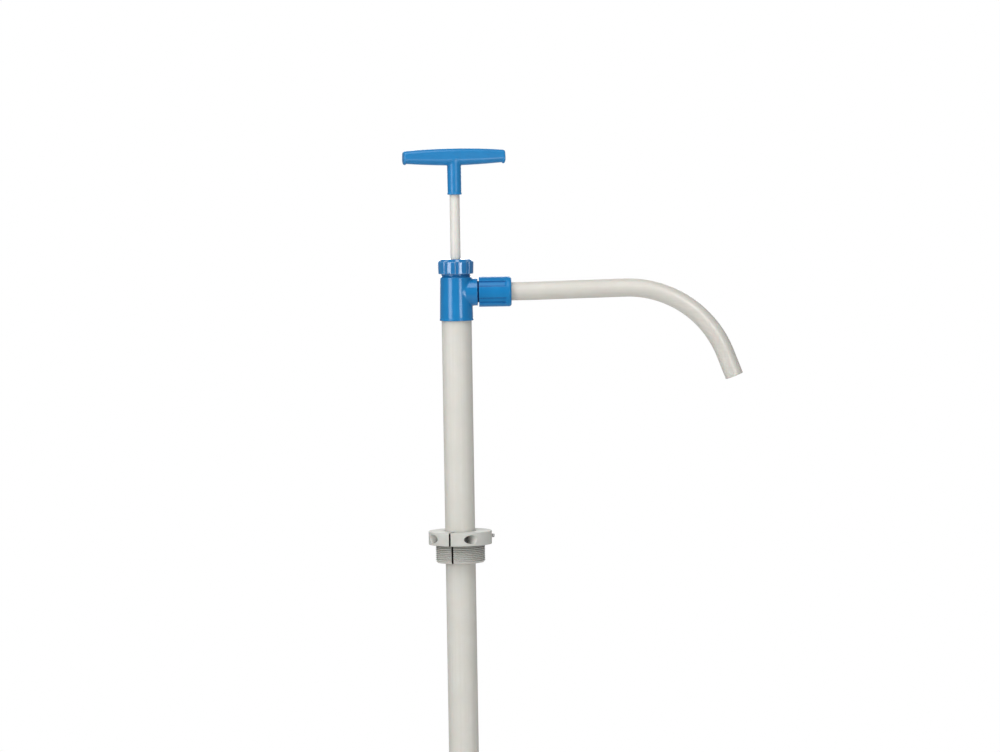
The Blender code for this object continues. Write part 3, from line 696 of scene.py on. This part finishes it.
def carved(verts, faces, cutters):
    """The solid with the cutters (verts, faces, matrix) taken out of it, as a plain mesh."""
    def temporary(v, f, matrix=None):
        mesh = bpy.data.meshes.new("temporary")
        mesh.from_pydata([tuple(map(float, c)) for c in v], [], [tuple(map(int, c)) for c in f])
        bm = bmesh.new()
        bm.from_mesh(mesh)
        bmesh.ops.recalc_face_normals(bm, faces=bm.faces)
        bm.to_mesh(mesh)
        bm.free()
        obj = bpy.data.objects.new("temporary", mesh)
        if matrix is not None:
            obj.matrix_world = matrix
        bpy.context.scene.collection.objects.link(obj)
        return obj
    solid = temporary(verts, faces)
    tools = [temporary(*c) for c in cutters]
    for one in tools:
        mod = solid.modifiers.new("cut", 'BOOLEAN')
        mod.operation, mod.solver, mod.object = 'DIFFERENCE', 'EXACT', one
    bpy.context.view_layer.update()
    mesh = bpy.data.meshes.new_from_object(solid.evaluated_get(bpy.context.evaluated_depsgraph_get()))
    out = [tuple(v.co) for v in mesh.vertices], [tuple(f.vertices) for f in mesh.polygons]
    bpy.data.meshes.remove(mesh)
    for obj in [solid] + tools:
        mesh = obj.data
        bpy.data.objects.remove(obj, do_unlink=True)
        bpy.data.meshes.remove(mesh)
    return out


def slab(x0, x1, y0, y1, z0, z1):
    v = [(x, y, z) for x in (x0, x1) for y in (y0, y1) for z in (z0, z1)]
    return v, [(0, 1, 3, 2), (4, 6, 7, 5), (0, 4, 5, 1), (2, 3, 7, 6), (0, 2, 6, 4), (1, 5, 7, 3)]


slit_frame = Matrix.Rotation(math.atan2(across[1], across[0]), 4, 'Z')      # its X runs across the slit
screw_bore = spun([(0.0, -60.0), (SCREW_POCKET_R, -60.0), (SCREW_POCKET_R, -SCREW_SEAT), (2.8, -SCREW_SEAT),
                   (2.8, SCREW_SEAT), (SCREW_POCKET_R, SCREW_SEAT), (SCREW_POCKET_R, 60.0), (0.0, 60.0)], 72)
pockets = [(*screw_bore, Matrix.Translation((slit_dir[0] * SCREW_OFFSET * side, slit_dir[1] * SCREW_OFFSET * side, SCREW_Z))
            @ slit_frame @ TO_X) for side in (1, -1)]
collar_ring = carved(*spun(collar_outline, 216, pipe_thread), pockets)
for name, low, high in (("collar_half_left", -SLIT_HALF, 80), ("collar_half_right", -80, SLIT_HALF)):
    piece(name, *carved(*collar_ring, [(*slab(low, high, -80, 80, -40, 40), slit_frame)]), COLLAR, sharp=38)

# ------------------------------------------------------------------ screws and nuts
def hexed(across_flats, outer):
    corner = across_flats / math.sqrt(3)

    def shape(angle):
        off = (math.degrees(angle) + 30.0) % 60.0 - 30.0
        return (across_flats / 2) / math.cos(math.radians(off)) / corner
    return corner, shape


def hex_nut(af, bore, low, high):
    corner, shape = hexed(af, None)

    def rule(r, z, a):
        if r < bore + 0.7:
            return r
        return min(r, corner * shape(a))
    outline = split_long(rounded([(bore, low, 0.3), (corner - 1.0, low), (corner, low + 0.6), (corner, high - 0.6),
                                  (corner - 1.0, high), (bore, high, 0.3)], 3), 1.6)
    return spun(outline, 72, rule)


def cap_screw(tail, seat):
    """Socket-head screw along Z: knurled head above seat, threaded shank down to -tail."""
    key, shape = hexed(4.0, None)
    pitch = 0.8
    outline = [(0.0, -tail), (1.9, -tail)]
    z = -tail + 0.5
    while z < 2.0:
        outline.append((2.5, z))
        z += pitch / 4
    outline += [(2.5, 2.0), (2.5, seat), (4.0, seat), (4.25, seat + 0.3), (4.25, seat + 4.2), (4.05, seat + 4.7),
                (3.6, seat + 5.0), (2.5, seat + 5.0), (2.3, seat + 4.9), (2.3, seat + 2.5), (0.0, seat + 2.0)]

    def rule(r, z, a):
        if abs(r - 2.5) < 1e-6 and z < 1.9:
            phase = (z / pitch - a / (2 * math.pi)) % 1.0
            return 2.1 + 0.4 * abs(2 * phase - 1)
        if abs(r - 4.25) < 1e-6:
            return r - 0.12 * (0.5 + 0.5 * math.cos(36 * a))
        if abs(r - 2.3) < 1e-6:
            return key * shape(a)
        return r
    return spun(outline, 72, rule)


for place, side, head, tail in (("front", 1, 1, 17.0), ("rear", -1, -1, 33.0)):
    base = (slit_dir[0] * SCREW_OFFSET * side, slit_dir[1] * SCREW_OFFSET * side, SCREW_Z)
    spin = (Matrix.Translation(base) @ Matrix.Rotation(math.atan2(across[1], across[0]), 4, 'Z')
            @ Matrix.Rotation(math.radians(90 * head), 4, 'Y'))
    seat = SCREW_SEAT + GAP
    piece("clamp_screw_" + place, *cap_screw(tail, seat), STEEL, spin, sharp=40)
    piece("clamp_nut_" + place, *hex_nut(8.0, 2.8, -seat - 4.0, -seat), STEEL, spin, sharp=30)

# ------------------------------------------------------------------ rod, gland and piston
STOP_LOW, STOP_HIGH = ROD_SHOULDER + 7.0, ROD_SHOULDER + 8.6
piece("piston_rod", *spun(rounded([
    (0.0, ROD_END), (ROD_SPIGOT_R, ROD_END, 0.8), (ROD_SPIGOT_R, ROD_SHOULDER), (ROD_R, ROD_SHOULDER, 0.3),
    (ROD_R, STOP_LOW - GAP), (ROD_R - 1.2, STOP_LOW - GAP), (ROD_R - 1.2, STOP_HIGH + GAP),
    (ROD_R, STOP_HIGH + GAP), (ROD_R, ROD_TOP, 1.2), (0.0, ROD_TOP)], 4), 72), ROD, sharp=40)


def o_ring(inner, outer, low, high, segments=96):
    """A moulded ring whose section nearly fills its groove, with round edges."""
    ease = min(outer - inner, high - low) * 0.45
    return spun(rounded([(inner, low, ease), (outer, low, ease), (outer, high, ease), (inner, high, ease)], 6), segments)


def plain_ring(inner, outer, low, high, ease, segments=96):
    return spun(rounded([(inner, low, ease), (outer, low, ease), (outer, high, ease), (inner, high, ease)], 3), segments)


ON_X = Matrix.Translation((0, 0, BRANCH_Z)) @ TO_X
piece("barrel_seal_ring", *o_ring(15.3, 17.9, 290.5, 291.5), RUBBER)
piece("rod_seal_ring", *o_ring(6.3, 11.6, TEE_SHOULDER, TEE_SHOULDER + 2.9), RUBBER)
piece("spout_seal_ring", *o_ring(SPOUT_R + 0.35, 13.4, 45.3, 48.0), RUBBER, ON_X)
piece("tube_grip_ring", *o_ring(18.35, 20.5, 4.4, 8.6), RUBBER)
piece("piston_seal_ring", *o_ring(12.7, 14.65, PISTON_TOP - 10.1, PISTON_TOP - 5.9), RUBBER)
piece("foot_seal_ring", *o_ring(13.5, 14.65, BARREL_BOTTOM + 5.3, BARREL_BOTTOM + 8.1), RUBBER)
piece("piston_valve_disc", *plain_ring(6.5, 13.0, ROD_SHOULDER, ROD_SHOULDER + 2.0, 0.4), RUBBER, sharp=50)
piece("valve_stop_ring", *plain_ring(5.1, 9.5, STOP_LOW, STOP_HIGH, 0.2), STEEL, sharp=50)
piece("piston_washer", *plain_ring(4.3, 6.6, -770.0, -768.6, 0.2), STEEL, sharp=50)
piece("piston_nut", *hex_nut(12.0, 4.3, -776.3, -770.3), STEEL, sharp=30)
piece("rod_stop_collar", *plain_ring(6.3, 10.5, -30.0, -14.0, 1.0), NATURAL, sharp=50)
piece("rod_guide_bush", *spun(rounded([
    (6.35, TEE_SHOULDER + 3.2, 0.5), (11.6, TEE_SHOULDER + 3.2, 0.6), (11.6, NECK_TOP + GAP, 0.3), (NECK_R, NECK_TOP + GAP, 0.3),
    (NECK_R, NECK_TOP + 2.4, 0.5), (6.35, NECK_TOP + 2.4, 0.5)], 4), 96), NATURAL, sharp=50)
piece("spout_grip_ring", *spun(rounded([
    (SPOUT_R + 0.35, 48.3, 0.3), (13.4, 48.3, 0.5), (13.4, 56.2, 0.5), (12.1, 60.0, 0.2), (SPOUT_R + 0.35, 60.0, 0.2)], 3), 96), NATURAL,
    ON_X, sharp=50)

piston_outline = rounded([
    (ROD_SPIGOT_R + 0.3, PISTON_TOP - PISTON_H), (PISTON_R, PISTON_TOP - PISTON_H, 1.0), (PISTON_R, PISTON_TOP - 10.4, 0.3),
    (12.4, PISTON_TOP - 10.4), (12.4, PISTON_TOP - 5.6), (PISTON_R, PISTON_TOP - 5.6, 0.3), (PISTON_R, PISTON_TOP, 1.0),
    (ROD_SPIGOT_R + 0.3, PISTON_TOP)])
port = spun([(0.0, -40.0), (PORT_R, -40.0), (PORT_R, 40.0), (0.0, 40.0)], 48)
port_angles = [2 * math.pi * (k + 0.5) / PORTS for k in range(PORTS)]
piece("piston_body", *carved(*spun(piston_outline, 120), [
    (*port, Matrix.Translation((PORT_PITCH_R * math.cos(a), PORT_PITCH_R * math.sin(a), PISTON_TOP))) for a in port_angles]),
    NATURAL, sharp=38)

# ------------------------------------------------------------------ foot valve
foot_outline = rounded([
    (11.0, FOOT_BOTTOM, 0.4), (BARREL_R, FOOT_BOTTOM, 1.4), (BARREL_R, BARREL_BOTTOM - GAP, 0.4), (14.6, BARREL_BOTTOM - GAP),
    (14.6, BARREL_BOTTOM + 5.0), (13.2, BARREL_BOTTOM + 5.0), (13.2, BARREL_BOTTOM + 8.4), (14.6, BARREL_BOTTOM + 8.4),
    (14.6, FOOT_TOP, 0.5), (11.2, FOOT_TOP, 0.4), (11.2, BARREL_BOTTOM + 2.0), (FOOT_BORE_R, BARREL_BOTTOM - 2.2, 0.4),
    (FOOT_BORE_R, BARREL_BOTTOM - 10.0, 0.8), (11.0, BARREL_BOTTOM - 14.0)])
PIN_Z = FOOT_TOP - 5.0


def tunnel(profile, half_length):
    """A closed (x, z) outline drawn out along Y, to both sides of the middle."""
    n = len(profile)
    v = [(x, y, z) for y in (-half_length, half_length) for x, z in profile]
    sides = [(k, (k + 1) % n, n + (k + 1) % n, n + k) for k in range(n)]
    return v, sides + [tuple(range(n)), tuple(range(n, 2 * n))]


inlet_slot = tunnel(rounded([(-4.5, FOOT_BOTTOM - 6.0), (4.5, FOOT_BOTTOM - 6.0), (4.5, FOOT_BOTTOM + 8.0, 2.0),
                             (-4.5, FOOT_BOTTOM + 8.0, 2.0)], 6), 40.0)
pin_hole = spun([(0.0, -30.0), (2.3, -30.0), (2.3, 30.0), (0.0, 30.0)], 48)
piece("foot_body", *carved(*spun(foot_outline, 144), [
    (*inlet_slot, Matrix.Rotation(math.radians(45), 4, 'Z')), (*inlet_slot, Matrix.Rotation(math.radians(-45), 4, 'Z')),
    (*pin_hole, Matrix.Translation((0, 0, PIN_Z)) @ TO_X)]), FOOT, sharp=38)

ball_z = BARREL_BOTTOM - 2.2 + math.sqrt(BALL_R ** 2 - FOOT_BORE_R ** 2) + 0.5
half_circle = [(BALL_R * math.cos(math.pi * (k / 40 - 0.5)), ball_z + BALL_R * math.sin(math.pi * (k / 40 - 0.5)))
               for k in range(41)]
half_circle[0], half_circle[-1] = (0.0, ball_z - BALL_R), (0.0, ball_z + BALL_R)
piece("foot_ball", *spun(half_circle, 72), NATURAL)
piece("ball_stop_pin", *spun(rounded([(0.0, -14.0), (2.0, -14.0, 0.5), (2.0, 14.0, 0.5), (0.0, 14.0)], 3), 48), STEEL,
      Matrix.Translation((0, 0, PIN_Z)) @ TO_X, sharp=50)

# ------------------------------------------------------------------ studio
scene = bpy.context.scene
scene.view_settings.view_transform = 'Standard'
scene.view_settings.look = 'None'

floor_mesh = bpy.data.meshes.new("floor")
bm = bmesh.new()
bmesh.ops.create_circle(bm, cap_ends=True, radius=3.6, segments=96)
bm.to_mesh(floor_mesh)
bm.free()
floor = bpy.data.objects.new("floor", floor_mesh)
floor.location = (0.0, 0.0, FOOT_BOTTOM * MM - 0.0005)
scene.collection.objects.link(floor)
pale = bpy.data.materials.new("pale_floor")
pale.use_nodes = True
ft = pale.node_tree
matt = ft.nodes["Principled BSDF"]
matt.inputs["Base Color"].default_value = (0.74, 0.74, 0.74, 1)
matt.inputs["Roughness"].default_value = 0.9
matt.inputs["Specular IOR Level"].default_value = 0.1
glow = ft.nodes.new("ShaderNodeEmission")              # an even pale floor to look at, which lights nothing
glow.inputs["Color"].default_value = (0.93, 0.93, 0.93, 1)
both = ft.nodes.new("ShaderNodeMixShader")
seen = ft.nodes.new("ShaderNodeLightPath")
share = ft.nodes.new("ShaderNodeMapRange")
share.inputs["To Max"].default_value = 0.8
ft.links.new(seen.outputs["Is Camera Ray"], share.inputs["Value"])
ft.links.new(share.outputs["Result"], both.inputs[0])
ft.links.new(matt.outputs[0], both.inputs[1])
ft.links.new(glow.outputs[0], both.inputs[2])
ft.links.new(both.outputs[0], ft.nodes["Material Output"].inputs["Surface"])
floor_mesh.materials.append(pale)

world = bpy.data.worlds.new("studio")
scene.world = world
world.use_nodes = True
wt = world.node_tree
sky = wt.nodes["Background"]
sky.inputs["Color"].default_value = (1, 1, 1, 1)
path = wt.nodes.new("ShaderNodeLightPath")
level = wt.nodes.new("ShaderNodeMapRange")
level.inputs["To Min"].default_value = 0.27           # what lights the object
level.inputs["To Max"].default_value = 1.0            # what is seen behind it
wt.links.new(path.outputs["Is Camera Ray"], level.inputs["Value"])
wt.links.new(level.outputs["Result"], sky.inputs["Strength"])


def softbox(name, azimuth, elevation, distance, width, height, watts, aim=(0.05, 0.0, 0.2), gloss=1.0):
    """An area light; azimuth 0 is at the camera's side, positive to the right."""
    light = bpy.data.lights.new(name, 'AREA')
    light.shape = 'RECTANGLE'
    light.size, light.size_y = width, height
    light.energy = watts
    light.specular_factor = gloss
    obj = bpy.data.objects.new(name, light)
    a, e = math.radians(azimuth), math.radians(elevation)
    back = Vector((math.sin(a) * math.cos(e), -math.cos(a) * math.cos(e), math.sin(e)))
    obj.location = Vector(aim) + back * distance
    obj.rotation_euler = back.to_track_quat('Z', 'Y').to_euler()
    obj.visible_camera = False
    scene.collection.objects.link(obj)
    return obj


softbox("key_left", -44, 9, 3.0, 1.25, 1.75, 33.5)
softbox("fill_right", 31, -5, 3.2, 0.9, 1.2, 22)
softbox("top", -14, 62, 2.8, 2.4, 2.0, 50)
strip = softbox("strip_right", 32, 27, 3.2, 0.45, 2.3, 58)
strip.visible_diffuse = False                         # a reflection in the shiny bend and nothing else
shiny = bpy.data.collections.new("shiny")
shiny.objects.link(spout)
strip.light_linking.receiver_collection = shiny
softbox("back", 180, 20, 3.4, 2.2, 1.8, 44, aim=(0.05, 0.0, -0.1), gloss=0.5)

# ------------------------------------------------------------------ camera
WIDE, HIGH = 1000.0, 752.0                            # the picture's own frame
SCALE = 1.2 * MM                                      # metres to the pixel at the pump
DISTANCE, ELEVATION, ROLL = 5.6, math.radians(3.26), math.radians(-0.94)
cam_data = bpy.data.cameras.new("camera")
cam = bpy.data.objects.new("camera", cam_data)
scene.collection.objects.link(cam)
scene.camera = cam
cam_data.sensor_width = 36.0
cam_data.lens = 36.0 * DISTANCE / (WIDE * SCALE)
target = Vector((0.0509, 0.0, 0.2012))
back = Vector((0.0, -math.cos(ELEVATION), math.sin(ELEVATION)))
right, up = Vector((1.0, 0.0, 0.0)), Vector((0.0, math.sin(ELEVATION), math.cos(ELEVATION)))
right, up = (right * math.cos(ROLL) + up * math.sin(ROLL), up * math.cos(ROLL) - right * math.sin(ROLL))
pose = Matrix((right, up, back)).transposed().to_4x4()
pose.translation = target + back * DISTANCE
cam.matrix_world = pose
cam_data.clip_start, cam_data.clip_end = 0.1, 200.0
